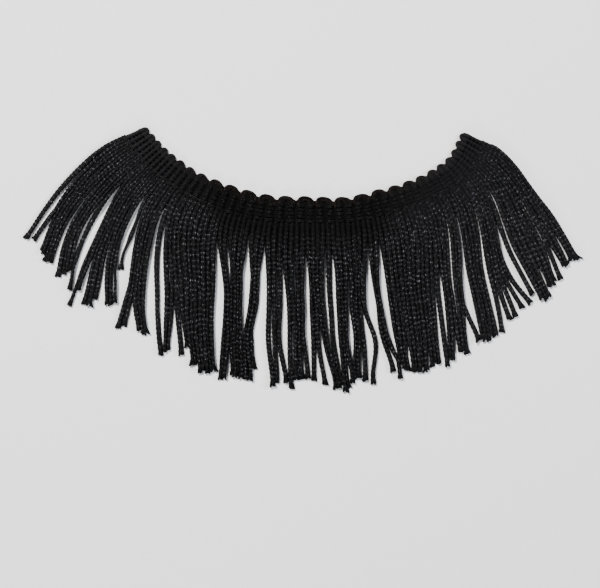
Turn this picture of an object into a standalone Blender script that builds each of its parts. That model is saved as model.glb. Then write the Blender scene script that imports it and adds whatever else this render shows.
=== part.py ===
"""Black cord fringe trim with a scalloped, ribbed heading, laid flat in a crescent.

Two solids: the heading, a band whose lower edge is the inside of the crescent's cords, and the fringe,
a narrow backing strip with every cord growing out of it. All sizes are in metres, +Z is up, and the
trim lies on the plane z = 0 with the heading's concave edge towards +Y.
"""

import bmesh
import bpy
import numpy as np

MM = 0.001

# Counts.
SCALLOPS = 27
RIBS = 2 * SCALLOPS
CORDS = 4 * SCALLOPS
STITCH_ROWS = 5

# The heading band.
PITCH_MIDDLE = 7.6 * MM  # one scallop in the middle of the band
PITCH_END = 3.4 * MM  # one scallop where the band is eased in at its ends
EASED_LENGTH = 58.0 * MM  # length of each eased end
SCALLOP_HEIGHT = 2.0 * MM
SCALLOP_SHARPNESS = 0.50  # below 1 the scallop is a round arch with a narrow notch
SCALLOP_LEAN = 0.80  # below 1 its top lies left of its middle
RIB_TOP = 3.2 * MM
RIB_GROOVE = 1.5 * MM
STITCH_DIP = 0.55 * MM
LOOP_TOP = 2.7 * MM
LOOP_NECK = 1.9 * MM
EDGE_TOP = 1.1 * MM

# The backing strip that holds the cords.
STRIP_GAP = 0.35 * MM
STRIP_WIDTH = 1.4 * MM
STRIP_LEVELS = (0.0, 0.9 * MM, 1.8 * MM, 2.7 * MM)

# The cords.
CORD_DIAMETER = 2.35 * MM
CORD_SLIMS = 0.21  # a cord is full where the heading grips it and this share thinner at its tip
STRAND_WIDTH = 0.93  # a strand's foot as a share of the cord's diameter
STRAND_HEIGHT = 0.86  # a strand's height as a share of the cord's diameter
STRAND_CROWN = 0.62  # the top of a strand is this share of its foot's width
STRAND_FLARE = 1.08  # the cut end is a little wider
STRAND_STEPS = 8
AIR = 0.22 * MM  # least air between the feet of two strands
CLOSEST = 1.24 * MM  # cords lie at least this far apart, centre to centre
ROOT_PULL = 1.00  # how strongly a cord keeps the direction of the heading at its root
HOOK_FROM = 0.50  # share of a cord's length from which its lock may swing sideways and back
RAGGED = 0.6 * MM  # how far single tips are longer or shorter than their lock
WANDER = 0.20 * MM  # how far each cord strays sideways on its way

# The band's two edges, in millimetres, one row for each section from the left end to the right end.
SECTION_COLUMNS = ("top_x", "top_y", "low_x", "low_y")
SECTIONS = (
    (-60.6, 52.1, -70.8, 47.6),
    (-57.0, 48.4, -66.4, 41.8),
    (-53.3, 44.3, -62.0, 36.6),
    (-47.2, 39.1, -55.2, 30.6),
    (-38.4, 33.4, -44.8, 23.8),
    (-26.9, 28.7, -31.2, 17.8),
    (-12.1, 24.8, -14.4, 14.0),
    (3.0, 24.0, 2.8, 13.2),
    (17.9, 23.9, 18.8, 13.4),
    (32.4, 27.1, 35.2, 16.4),
    (45.2, 31.2, 50.0, 21.4),
    (55.4, 37.0, 62.4, 27.8),
    (59.9, 41.3, 68.2, 33.8),
    (62.4, 46.0, 71.8, 40.0),
    (64.6, 50.3, 74.6, 45.4),
)

# The locks that the cords fall into, in millimetres, from left to right: how many cords, where its
# first and last cord lie about half way and at their tips, how far the middle tips reach past that
# line, and how far the lock swings to the right and back between half way and the tips.
LOCK_COLUMNS = (
    "cords",
    "half_first_x",
    "half_first_y",
    "half_last_x",
    "half_last_y",
    "tip_first_x",
    "tip_first_y",
    "tip_last_x",
    "tip_last_y",
    "longer",
    "hook",
)
LOCKS = (
    (2, -101.6, 18.6, -99.0, 16.6, -109.4, 6.2, -106.6, 5.8, 0.0, 0.0),
    (5, -98.0, 14.6, -92.8, 13.8, -103.4, 2.6, -99.4, -1.4, 0.5, 0.0),
    (4, -92.2, 8.6, -88.4, 7.8, -95.6, -7.4, -91.4, -5.4, -1.0, 0.0),
    (1, -85.2, 9.4, -85.2, 9.4, -91.6, -11.4, -91.6, -11.4, 0.0, 0.0),
    (2, -82.6, 4.6, -81.4, 3.8, -90.6, -18.2, -87.8, -14.2, 0.0, 0.0),
    (3, -80.0, 3.4, -77.2, 2.6, -85.0, -17.8, -80.4, -15.0, 2.0, 0.0),
    (1, -75.6, 2.2, -75.6, 2.2, -77.2, -18.6, -77.2, -18.6, 0.0, 0.0),
    (2, -74.0, 2.2, -72.8, 2.2, -75.0, -17.4, -72.8, -18.2, 0.0, 0.0),
    (1, -68.8, 4.2, -68.8, 4.2, -71.8, -4.6, -71.8, -4.6, 0.0, 0.0),
    (2, -69.0, -17.4, -67.2, -17.4, -71.8, -28.2, -69.8, -28.6, 0.0, 0.0),
    (3, -65.4, -17.4, -61.8, -17.4, -64.4, -30.2, -61.0, -28.6, 1.6, 0.0),
    (1, -56.8, -17.4, -56.8, -17.4, -56.2, -38.6, -56.2, -38.6, 0.0, 0.0),
    (1, -52.8, -17.4, -52.8, -17.4, -54.4, -38.4, -54.4, -38.4, 0.0, 0.0),
    (1, -50.8, -17.4, -50.8, -17.4, -52.4, -36.6, -52.4, -36.6, 0.0, 0.0),
    (1, -48.9, -17.4, -48.9, -17.4, -47.0, -38.0, -47.0, -38.0, 0.0, 0.0),
    (1, -46.9, -17.4, -46.9, -17.4, -44.7, -37.2, -44.7, -37.2, 0.0, 0.0),
    (2, -44.8, -17.4, -43.0, -17.4, -42.9, -41.6, -41.4, -43.8, 0.0, 0.0),
    (5, -41.3, -17.4, -34.5, -17.4, -39.6, -46.2, -34.4, -43.8, 0.3, 0.0),
    (2, -29.5, -17.4, -28.6, -17.4, -30.9, -48.6, -28.6, -48.2, 0.0, 0.0),
    (4, -26.0, -17.4, -23.6, -17.4, -26.8, -46.8, -23.8, -47.6, 0.2, 0.0),
    (3, -18.7, -15.8, -16.7, -15.8, -21.4, -48.8, -18.2, -44.8, 0.4, -1.4),
    (3, -11.9, -17.4, -7.6, -17.4, -10.6, -49.8, -5.6, -49.0, 0.0, -0.8),
    (2, -4.3, -18.2, -2.4, -18.2, -3.0, -51.8, -0.8, -49.0, 0.0, 0.0),
    (1, -0.2, -18.2, -0.2, -18.2, 1.0, -48.6, 1.0, -48.6, 0.0, 0.0),
    (1, 1.8, -18.2, 1.8, -18.2, 4.0, -49.4, 4.0, -49.4, 0.0, -0.8),
    (1, 4.9, -18.2, 4.9, -18.2, 6.6, -49.4, 6.6, -49.4, 0.0, 0.0),
    (1, 6.4, -18.2, 6.4, -18.2, 10.8, -50.2, 10.8, -50.2, 0.0, -0.8),
    (2, 7.8, -18.2, 9.1, -18.2, 14.8, -51.0, 16.0, -51.4, 0.0, -0.6),
    (1, 12.6, -18.2, 12.6, -18.2, 17.0, -51.8, 17.0, -51.8, 0.0, -0.8),
    (3, 15.9, -18.2, 19.0, -18.2, 18.2, -51.8, 20.4, -48.6, 0.0, -0.4),
    (2, 20.9, -18.2, 22.6, -18.2, 21.4, -48.6, 22.8, -48.2, 0.0, 1.6),
    (1, 24.2, -18.2, 24.2, -18.2, 27.2, -48.2, 27.2, -48.2, 0.0, 0.4),
    (1, 25.9, -18.2, 25.9, -18.2, 29.0, -50.0, 29.0, -50.0, 0.0, 3.2),
    (2, 31.4, -18.2, 32.6, -18.2, 37.8, -45.4, 41.8, -48.6, 0.0, -1.2),
    (2, 36.6, -17.4, 38.2, -17.4, 39.8, -41.8, 41.6, -43.8, 0.0, 0.0),
    (9, 40.0, -15.4, 53.4, -16.6, 43.6, -44.6, 55.6, -42.0, 0.6, 0.0),
    (1, 55.8, -17.4, 55.8, -17.4, 58.8, -42.2, 58.8, -42.2, 0.0, 0.0),
    (3, 57.5, -11.4, 60.2, -11.0, 61.2, -40.6, 63.6, -38.6, 0.0, 0.0),
    (2, 62.8, -11.4, 64.0, -11.0, 65.0, -37.8, 66.6, -36.6, 0.0, 0.0),
    (1, 65.6, -18.6, 65.6, -18.6, 71.4, -31.8, 71.4, -31.8, 0.0, 0.0),
    (2, 68.4, -9.4, 69.8, -9.0, 72.6, -32.6, 74.4, -32.4, 0.0, 0.0),
    (3, 71.6, -11.0, 74.0, -9.8, 75.8, -31.8, 78.8, -30.4, 0.0, 0.0),
    (4, 77.0, -9.8, 82.8, -9.4, 82.0, -28.6, 88.4, -20.6, 0.0, 0.0),
    (1, 84.7, -9.4, 84.7, -9.4, 91.8, -18.2, 91.8, -18.2, 0.0, 0.0),
    (1, 85.4, -1.4, 85.4, -1.4, 93.4, -16.2, 93.4, -16.2, 0.0, 0.0),
    (7, 87.1, 1.8, 96.0, 10.2, 96.4, -17.0, 103.5, -7.6, 0.6, 0.0),
    (4, 92.7, 19.4, 97.2, 21.0, 104.6, -2.4, 110.3, 1.0, 0.3, 0.0),
)


def table(rows, columns):
    """The rows of a table as arrays under their column names, lengths turned into metres."""
    values = np.array(rows, float)
    found = {}
    for i, column in enumerate(columns):
        found[column] = values[:, i] * (1.0 if column == "cords" else MM)
    return found


def spline(knots, at):
    """A smooth curve through evenly numbered knots, read at the numbers `at`: each span is the cubic
    that leaves and meets its knots along the line between their neighbours."""
    knots = np.asarray(knots, float)
    slope = np.gradient(knots, axis=0)
    at = np.clip(np.asarray(at, float), 0, len(knots) - 1)
    i = np.minimum(at.astype(int), len(knots) - 2)
    t = (at - i)[:, None]
    a = knots[i] * (2 * t**3 - 3 * t**2 + 1) + slope[i] * (t**3 - 2 * t**2 + t)
    return a + knots[i + 1] * (3 * t**2 - 2 * t**3) + slope[i + 1] * (t**3 - t**2)


def band_edges(count_along):
    """Points on the heading's top and low edges where the running count of scallops is the given one.
    The count grows by 1 / pitch for each metre, and the pitch eases from the middle to the ends."""
    s = table(SECTIONS, SECTION_COLUMNS)
    top_knots = np.stack([s["top_x"], s["top_y"]], axis=1)
    low_knots = np.stack([s["low_x"], s["low_y"]], axis=1)
    fine = np.linspace(0, len(SECTIONS) - 1, 2001)
    top, low = spline(top_knots, fine), spline(low_knots, fine)
    step = np.linalg.norm(np.diff(top, axis=0), axis=1)
    run = np.concatenate([[0], np.cumsum(step)])
    from_end = np.minimum(run, run[-1] - run)
    ease = np.clip(from_end / EASED_LENGTH, 0, 1)
    ease = ease * ease * (3 - 2 * ease)
    pitch = PITCH_END + (PITCH_MIDDLE - PITCH_END) * ease
    count = np.concatenate([[0], np.cumsum(step / ((pitch[1:] + pitch[:-1]) / 2))])
    count *= SCALLOPS / count[-1]
    at = np.interp(count_along, count, fine)
    return spline(top_knots, at), spline(low_knots, at)


def wobble(i, seed):
    """A repeatable uneven number from -1 to 1 for each whole number i."""
    v = np.sin(np.asarray(i, float) * 12.9898 + seed * 78.233) * 43758.5453
    return 2 * (v - np.floor(v)) - 1


def unit(v):
    """Vectors of length one."""
    return v / np.linalg.norm(v, axis=-1, keepdims=True)


def cubic(start, end, start_pull, end_pull, t):
    """The cubics that leave their starts and meet their ends with the given pulls, read at t."""
    t = t[..., None]
    a = start[:, None] * (2 * t**3 - 3 * t**2 + 1) + start_pull[:, None] * (t**3 - 2 * t**2 + t)
    return a + end[:, None] * (3 * t**2 - 2 * t**3) + end_pull[:, None] * (t**3 - t**2)


def cord_routes(samples):
    """The plan of every cord, as an array of cords by samples by two. A cord is two cubic spans, from
    its root by its place at half way to its tip. It leaves the root in the heading's own direction and
    passes half way in the mean direction of both spans. The first and last cord of a lock have their
    places in the table, and the others share the room between them evenly."""
    locks = table(LOCKS, LOCK_COLUMNS)
    many = locks["cords"].astype(int)
    lock_of = np.repeat(np.arange(len(many)), many)
    place = np.concatenate([np.arange(n) for n in many])
    share = np.where(many[lock_of] > 1, place / np.maximum(many[lock_of] - 1, 1), 0.5)[:, None]
    k = np.arange(CORDS)
    top, low = band_edges((k + 0.5) / 4 + 0.015 * wobble(k, 1))
    away = unit(low - top)
    root = low + away * (STRIP_GAP + STRIP_WIDTH)
    ends = {}
    for name in ("half_first", "half_last", "tip_first", "tip_last"):
        ends[name] = np.stack([locks[name + "_x"], locks[name + "_y"]], axis=1)[lock_of]
    half = ends["half_first"] * (1 - share) + ends["half_last"] * share
    tip = ends["tip_first"] * (1 - share) + ends["tip_last"] * share
    lean = unit(tip - half)
    extra = locks["longer"][lock_of][:, None] * 4 * share * (1 - share) + RAGGED * wobble(k, 2)[:, None]
    tip = tip + lean * extra
    reach_1 = np.linalg.norm(half - root, axis=1, keepdims=True)
    reach_2 = np.linalg.norm(tip - half, axis=1, keepdims=True)
    turn = unit(unit(half - root) * reach_2 + lean * reach_1)
    part = reach_1 / (reach_1 + reach_2)
    t = np.linspace(0, 1, samples)[None]
    upper = cubic(root, half, away * reach_1 * ROOT_PULL, turn * reach_1, np.clip(t / part, 0, 1))
    lower = cubic(half, tip, turn * reach_2, lean * reach_2, np.clip((t - part) / (1 - part), 0, 1))
    path = np.where((t < part)[..., None], upper, lower)
    across = np.stack([-lean[:, 1], lean[:, 0]], axis=1)[:, None]
    swing = np.sin(np.pi * np.clip((t - HOOK_FROM) / (1 - HOOK_FROM), 0, 1)) ** 2
    path = path + across * (locks["hook"][lock_of][:, None] * swing)[..., None]
    for which, size, seed in ((lock_of, WANDER, 3), (k, WANDER / 2, 11)):
        waves = 1.1 + 0.4 * wobble(which, seed)[:, None]
        wander = np.sin(2 * np.pi * (waves * t + 0.5 * wobble(which, seed + 1)[:, None])) * np.clip(t / 0.3, 0, 1)
        path = path + across * (size * wander)[..., None]
    return part_neighbours(path)


def part_neighbours(path):
    """Moves each two neighbours that are closer than CLOSEST apart, sideways and by equal shares, from
    just past the root to the tip, until all keep that distance."""
    samples = path.shape[1]
    t = np.linspace(0, 1, samples)
    hold = np.clip(t / 0.06, 0, 1)[None, :, None]
    for _ in range(60):
        along = np.gradient(path, axis=1)
        along /= np.linalg.norm(along, axis=2, keepdims=True)
        side = np.stack([-along[..., 1], along[..., 0]], axis=2)
        mean_side = side[1:] + side[:-1]
        mean_side /= np.linalg.norm(mean_side, axis=2, keepdims=True)
        apart = ((path[1:] - path[:-1]) * mean_side).sum(axis=2, keepdims=True)
        push = np.clip(CLOSEST * 1.02 - apart, 0, None) * mean_side * 0.25 * hold
        path[1:] += push
        path[:-1] -= push
    return path


def spacing(path):
    """For each cord and sample, the distance across to the nearer neighbour."""
    along = np.gradient(path, axis=1)
    along /= np.linalg.norm(along, axis=2, keepdims=True)
    side = np.stack([-along[..., 1], along[..., 0]], axis=2)
    near = np.full(path.shape[:2], 1.0)
    gap = np.abs(((path[1:] - path[:-1]) * side[1:]).sum(axis=2))
    near[1:] = np.minimum(near[1:], gap)
    near[:-1] = np.minimum(near[:-1], gap)
    return near


def cord_thickness(samples):
    """The diameter of a cord at evenly spread samples from its root to its tip."""
    t = np.linspace(0, 1, samples)
    return CORD_DIAMETER * (1 - CORD_SLIMS * t * (2 - t))


def ride_height(near):
    """How high every second cord lies where its neighbours leave it less than its own thickness: the
    height at which a round cord rests in the notch between two others, smoothed along the cord."""
    odd = (np.arange(CORDS) % 2 == 1)[:, None]
    lift = np.sqrt(np.clip(cord_thickness(near.shape[1])[None] ** 2 - near**2, 0, None)) * odd
    for _ in range(2):
        lift[:, 1:-1] = (lift[:, :-2] + 2 * lift[:, 1:-1] + lift[:, 2:]) / 4
    return lift


def heading_mesh():
    """The heading as one closed mesh: a ribbed, stitched face over a flat underside."""
    per_rib = 3
    columns = RIBS * per_rib + 1
    rib_at = np.arange(columns) / per_rib
    top, low = band_edges(rib_at / 2)
    # Heights across one rib: the groove, then two points on the crest.
    crest = (np.arange(columns) % per_rib != 0).astype(float)
    # Rows from the tip of the scallop to the low edge, as shares of the way across the band.
    body_rows = 2 * STITCH_ROWS + 1
    v_body = np.linspace(0.22, 1.0, body_rows)
    v = np.concatenate([[0.0, 0.07, 0.17], v_body])
    in_scallop = ((rib_at / 2) % 1.0) ** SCALLOP_LEAN
    arch = (4 * in_scallop * (1 - in_scallop)) ** SCALLOP_SHARPNESS
    arch[(np.arange(columns) % (2 * per_rib)) == 0] = 0.0
    deep = np.linalg.norm(low - top, axis=1)
    notch = SCALLOP_HEIGHT / deep * (1 - arch)
    points = []
    for r, share in enumerate(v):
        at = notch + (1 - notch) * share if r < 3 else np.full(columns, share)
        at = np.maximum(at, notch + 0.035 * r) if r < 4 else at
        plan = top + (low - top) * at[:, None]
        if r == 0:
            high = np.full(columns, EDGE_TOP)
        elif r == 1:
            high = EDGE_TOP + (LOOP_TOP - EDGE_TOP) * (0.25 + 0.75 * arch)
        elif r == 2:
            high = RIB_GROOVE + (LOOP_NECK - RIB_GROOVE) * (0.3 + 0.7 * arch)
        else:
            stitch = (r - 3 + (np.arange(columns) // per_rib) % 2) % 2
            if r == len(v) - 1:
                stitch = np.ones(columns)
            crown = RIB_TOP - STITCH_DIP * stitch
            high = RIB_GROOVE + (crown - RIB_GROOVE) * crest
        points.append(np.column_stack([plan, high]))
    rows = len(points)
    verts = np.concatenate(points)
    foot_top = points[0].copy()
    foot_low = points[-1].copy()
    foot_top[:, 2] = 0.0
    foot_low[:, 2] = 0.0
    verts = np.concatenate([verts, foot_top, foot_low])
    ft, fl = rows * columns, (rows + 1) * columns
    faces = []
    for c in range(columns - 1):
        for r in range(rows - 1):
            a = r * columns + c
            faces.append((a, a + columns, a + columns + 1, a + 1))
        last = (rows - 1) * columns + c
        faces.append((c, c + 1, ft + c + 1, ft + c))
        faces.append((last + 1, last, fl + c, fl + c + 1))
        faces.append((ft + c, ft + c + 1, fl + c + 1, fl + c))
    for c, turn in ((0, 1), (columns - 1, -1)):
        ring = [ft + c] + [r * columns + c for r in range(rows)] + [fl + c]
        faces.append(tuple(ring[::turn]))
    return verts, faces


def fringe_mesh():
    """The backing strip and its strands as one closed mesh. Each strand grows out of its own patch of
    the strip's outer wall: the even ones out of the lower part, the odd ones out of the upper part."""
    path = cord_routes(STRAND_STEPS * 6 + 1)
    near = spacing(path)
    lift = ride_height(near)
    pick = np.arange(0, path.shape[1], 6)
    along = np.gradient(path, axis=1)
    along /= np.linalg.norm(along, axis=2, keepdims=True)
    thick = cord_thickness(path.shape[1])[pick]
    path, near, lift, along = path[:, pick], near[:, pick], lift[:, pick], along[:, pick]
    side = np.stack([-along[..., 1], along[..., 0]], axis=2)
    wide = np.minimum(STRAND_WIDTH * thick[None], near - AIR)
    wide[:, -1] = np.minimum(wide[:, -1] * STRAND_FLARE, near[:, -1] - AIR)
    k = np.arange(CORDS)
    count = (k + 0.5) / 4 + 0.03 * wobble(k, 1)
    edge_count = np.linspace(0, SCALLOPS, 100 * SCALLOPS + 1)
    _, low_fine = band_edges(edge_count)
    run = np.concatenate([[0], np.cumsum(np.linalg.norm(np.diff(low_fine, axis=0), axis=1))])
    centre_run = np.interp(count, edge_count, run)
    half = wide[:, 0] / 2
    mark = np.sort(np.concatenate([[0.0], centre_run - half, centre_run + half, [run[-1]]]))
    top, low = band_edges(np.interp(mark, run, edge_count))
    away = (low - top) / np.linalg.norm(low - top, axis=1, keepdims=True)
    inner = low + away * STRIP_GAP
    outer = low + away * (STRIP_GAP + STRIP_WIDTH)
    columns = len(mark)
    levels = STRIP_LEVELS
    grid = [np.column_stack([outer, np.full(columns, z)]) for z in levels]
    grid.append(np.column_stack([inner, np.full(columns, levels[0])]))
    grid.append(np.column_stack([inner, np.full(columns, levels[3])]))
    verts = list(np.concatenate(grid))
    faces = []

    def at(level, c):
        return level * columns + c

    for c in range(columns - 1):
        is_cord = c % 2 == 1
        cord = (c - 1) // 2
        rows = (0, 1, 2)
        if is_cord:
            rows = (0,) if cord % 2 else (2,)
        for r in rows:
            faces.append((at(r, c), at(r, c + 1), at(r + 1, c + 1), at(r + 1, c)))
        faces.append((at(3, c), at(3, c + 1), at(5, c + 1), at(5, c)))
        faces.append((at(4, c), at(4, c + 1), at(0, c + 1), at(0, c)))
        faces.append((at(5, c), at(5, c + 1), at(4, c + 1), at(4, c)))
        if not is_cord:
            continue
        base = 1 if cord % 2 else 0
        ring = [at(base, c), at(base, c + 1), at(base + 2, c + 1), at(base + 2, c)]
        middle = (at(base + 1, c), at(base + 1, c + 1))
        # side points to the right of a cord that runs downwards, so the first corner is on its left.
        for s in range(1, STRAND_STEPS + 1):
            p, n = path[cord, s], side[cord, s]
            w = wide[cord, s] / 2
            z0 = lift[cord, s]
            z1 = z0 + STRAND_HEIGHT * thick[s]
            crown = w * STRAND_CROWN
            new = len(verts)
            verts.append((*(p - n * w), z0))
            verts.append((*(p + n * w), z0))
            verts.append((*(p + n * crown), z1))
            verts.append((*(p - n * crown), z1))
            here = [new, new + 1, new + 2, new + 3]
            for q in range(4):
                face = [ring[q], ring[(q + 1) % 4], here[(q + 1) % 4], here[q]]
                if s == 1 and q == 1:
                    face.insert(1, middle[1])
                if s == 1 and q == 3:
                    face.insert(1, middle[0])
                faces.append(tuple(face))
            ring = here
        faces.append(tuple(ring))
    for c in (0, columns - 1):
        faces.append((at(0, c), at(1, c), at(2, c), at(3, c), at(5, c), at(4, c)))
    return np.array([tuple(v) for v in verts]), faces


def material(name, colour, roughness):
    """A plain material for one node."""
    m = bpy.data.materials.new(name)
    m.use_nodes = True
    shader = m.node_tree.nodes["Principled BSDF"]
    shader.inputs["Base Color"].default_value = (*colour, 1.0)
    shader.inputs["Roughness"].default_value = roughness
    shader.inputs["Metallic"].default_value = 0.0
    return m


def add_node(name, verts, faces, colour, roughness):
    """One named object from points and faces, its faces turned outwards and cut into triangles."""
    mesh = bpy.data.meshes.new(name)
    mesh.from_pydata([tuple(map(float, v)) for v in verts], [], faces)
    work = bmesh.new()
    work.from_mesh(mesh)
    bmesh.ops.triangulate(work, faces=work.faces[:], quad_method="FIXED", ngon_method="EAR_CLIP")
    bmesh.ops.recalc_face_normals(work, faces=work.faces[:])
    work.to_mesh(mesh)
    work.free()
    node = bpy.data.objects.new(name, mesh)
    bpy.context.scene.collection.objects.link(node)
    mesh.materials.append(material(name + "_yarn", colour, roughness))
    print(name, "triangles:", len(mesh.polygons))
    return node


for old in list(bpy.data.objects):
    bpy.data.objects.remove(old, do_unlink=True)

band, band_faces = heading_mesh()
cords, cord_faces = fringe_mesh()
# The origin is the middle of the trim's footprint, on the surface it lies on.
both = np.concatenate([band, cords])[:, :2]
middle = (both.min(axis=0) + both.max(axis=0)) / 2
print("footprint middle moved to the origin, mm:", np.round(middle / MM, 3))
band[:, :2] -= middle
cords[:, :2] -= middle
add_node("heading", band, band_faces, (0.009, 0.009, 0.010), 0.85)
add_node("fringe", cords, cord_faces, (0.013, 0.013, 0.014), 0.80)
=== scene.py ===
"""Black cord fringe trim, laid flat in a crescent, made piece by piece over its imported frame.

The trim is one knitted band with 108 knitted cords in its low edge. Every surface here is a formula
on a grid, worked out with numpy for all cords or all scallops at once:

- the plan of a cord is two cubics, from its root by its place half way to its tip, each the sum of its
  two ends and two pulls weighted by 2t^3-3t^2+1, 3t^2-2t^3, t^3-2t^2+t and t^3-t^2, and neighbours
  that come too close are parted;
- the height of a cord is that of a round cord in the notch between two others, the square root of
  its thickness squared less their distance squared, and it grows from nothing at the root;
- the skin of a cord is a ring carried along the plan, whose radius falls with each V stitch;
- a scallop is a bundle of yarns carried round an arch, and a stitch is a yarn ring over one rib.
"""

# %% [markdown]
# # The frame
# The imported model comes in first. Its box is kept, because the finished trim has to fill the same
# space, and the heading's own box says where the trim's drawing has to be moved to.

# %%
import math

import bpy
import numpy as np
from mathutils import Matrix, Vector


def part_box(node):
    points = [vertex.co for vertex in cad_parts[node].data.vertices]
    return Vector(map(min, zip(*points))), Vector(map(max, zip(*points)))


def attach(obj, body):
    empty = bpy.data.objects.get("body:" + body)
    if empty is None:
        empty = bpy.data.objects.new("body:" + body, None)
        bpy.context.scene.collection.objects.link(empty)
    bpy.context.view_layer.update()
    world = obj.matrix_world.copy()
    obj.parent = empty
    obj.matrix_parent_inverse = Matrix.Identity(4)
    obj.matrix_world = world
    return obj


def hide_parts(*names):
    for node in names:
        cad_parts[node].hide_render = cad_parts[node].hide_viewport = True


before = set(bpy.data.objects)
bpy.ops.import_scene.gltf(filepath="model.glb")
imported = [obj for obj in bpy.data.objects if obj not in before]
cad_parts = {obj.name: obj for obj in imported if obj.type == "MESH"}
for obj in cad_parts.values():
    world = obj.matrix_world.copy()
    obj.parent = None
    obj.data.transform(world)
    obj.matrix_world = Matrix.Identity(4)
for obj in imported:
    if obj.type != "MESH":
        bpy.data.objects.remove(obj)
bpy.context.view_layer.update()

MM = 0.001

# %% [markdown]
# # Named sizes
# All sizes of the real trim, in metres. The layout ones are those of the solids.

# %%
SCALLOPS = 27
RIBS = 2 * SCALLOPS
CORDS = 4 * SCALLOPS
STITCH_ROWS = 5

PITCH_MIDDLE = 7.6 * MM
PITCH_END = 3.4 * MM
EASED_LENGTH = 58.0 * MM
STRIP_GAP = 0.35 * MM
STRIP_WIDTH = 1.4 * MM

CORD_DIAMETER = 2.35 * MM
CORD_SLIMS = 0.21
CLOSEST = 1.24 * MM
ROOT_PULL = 1.00
HOOK_FROM = 0.50
RAGGED = 1.6 * MM  # how much longer or shorter than its lock a cord is cut
WANDER = 0.20 * MM  # how far a lock strays sideways in slow waves, and a cord half as far
TIP_SPREAD = 1.1 * MM  # how far a tip stands off its place in the lock

# %% [markdown]
# The skin of a cord: a knitted tube of four columns of V stitches, each stitch about 1.6 mm long.

# %%
WALES = 4
AROUND = 4 * WALES
STITCHES = 36
STITCH_FALL = (0.0, 0.10, 0.28, 0.58, 1.0)  # how the surface falls along a stitch, a value for each row
ROWS_PER_STITCH = len(STITCH_FALL)
V_RISE = 0.42  # how far a V's arms run along the cord, in stitches
STITCH_DEEP = 0.24 * MM
WALE_DEEP = 0.13 * MM
FULLNESS = 0.15 * MM  # how far the crests stand out of the cord's mean thickness
UV_PER_CORD = 80  # V counts stitches from a cord's root, and each cord's count starts this much higher
DARK_STITCHES = 2.5  # the first stitches get no painted highlights: painted shade below the heading
SHADED_CORDS = (38, 68)  # outside these cords the painted shade ends up to LESS_SHADE stitches nearer the root
LESS_SHADE = 4
SQUEEZE = 0.64  # crowded cords are pressed to at least this share of their width
ROOTS_LEVEL = 0.24  # over this first share of their length the cords rise to their height
ROOTS_FULL = 0.22  # over this first share of their length they are pressed less

# %% [markdown]
# The layout tables: one row for each section of the band and one for each lock of cords, in mm.

# %%
SECTION_COLUMNS = ("top_x", "top_y", "low_x", "low_y")
SECTIONS = (
    (-60.6, 52.1, -70.8, 47.6),
    (-57.0, 48.4, -66.4, 41.8),
    (-53.3, 44.3, -62.0, 36.6),
    (-47.2, 39.1, -55.2, 30.6),
    (-38.4, 33.4, -44.8, 23.8),
    (-26.9, 28.7, -31.2, 17.8),
    (-12.1, 24.8, -14.4, 14.0),
    (3.0, 24.0, 2.8, 13.2),
    (17.9, 23.9, 18.8, 13.4),
    (32.4, 27.1, 35.2, 16.4),
    (45.2, 31.2, 50.0, 21.4),
    (55.4, 37.0, 62.4, 27.8),
    (59.9, 41.3, 68.2, 33.8),
    (62.4, 46.0, 71.8, 40.0),
    (64.6, 50.3, 74.6, 45.4),
)
LOCK_COLUMNS = (
    "cords",
    "half_first_x",
    "half_first_y",
    "half_last_x",
    "half_last_y",
    "tip_first_x",
    "tip_first_y",
    "tip_last_x",
    "tip_last_y",
    "longer",
    "hook",
)
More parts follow.
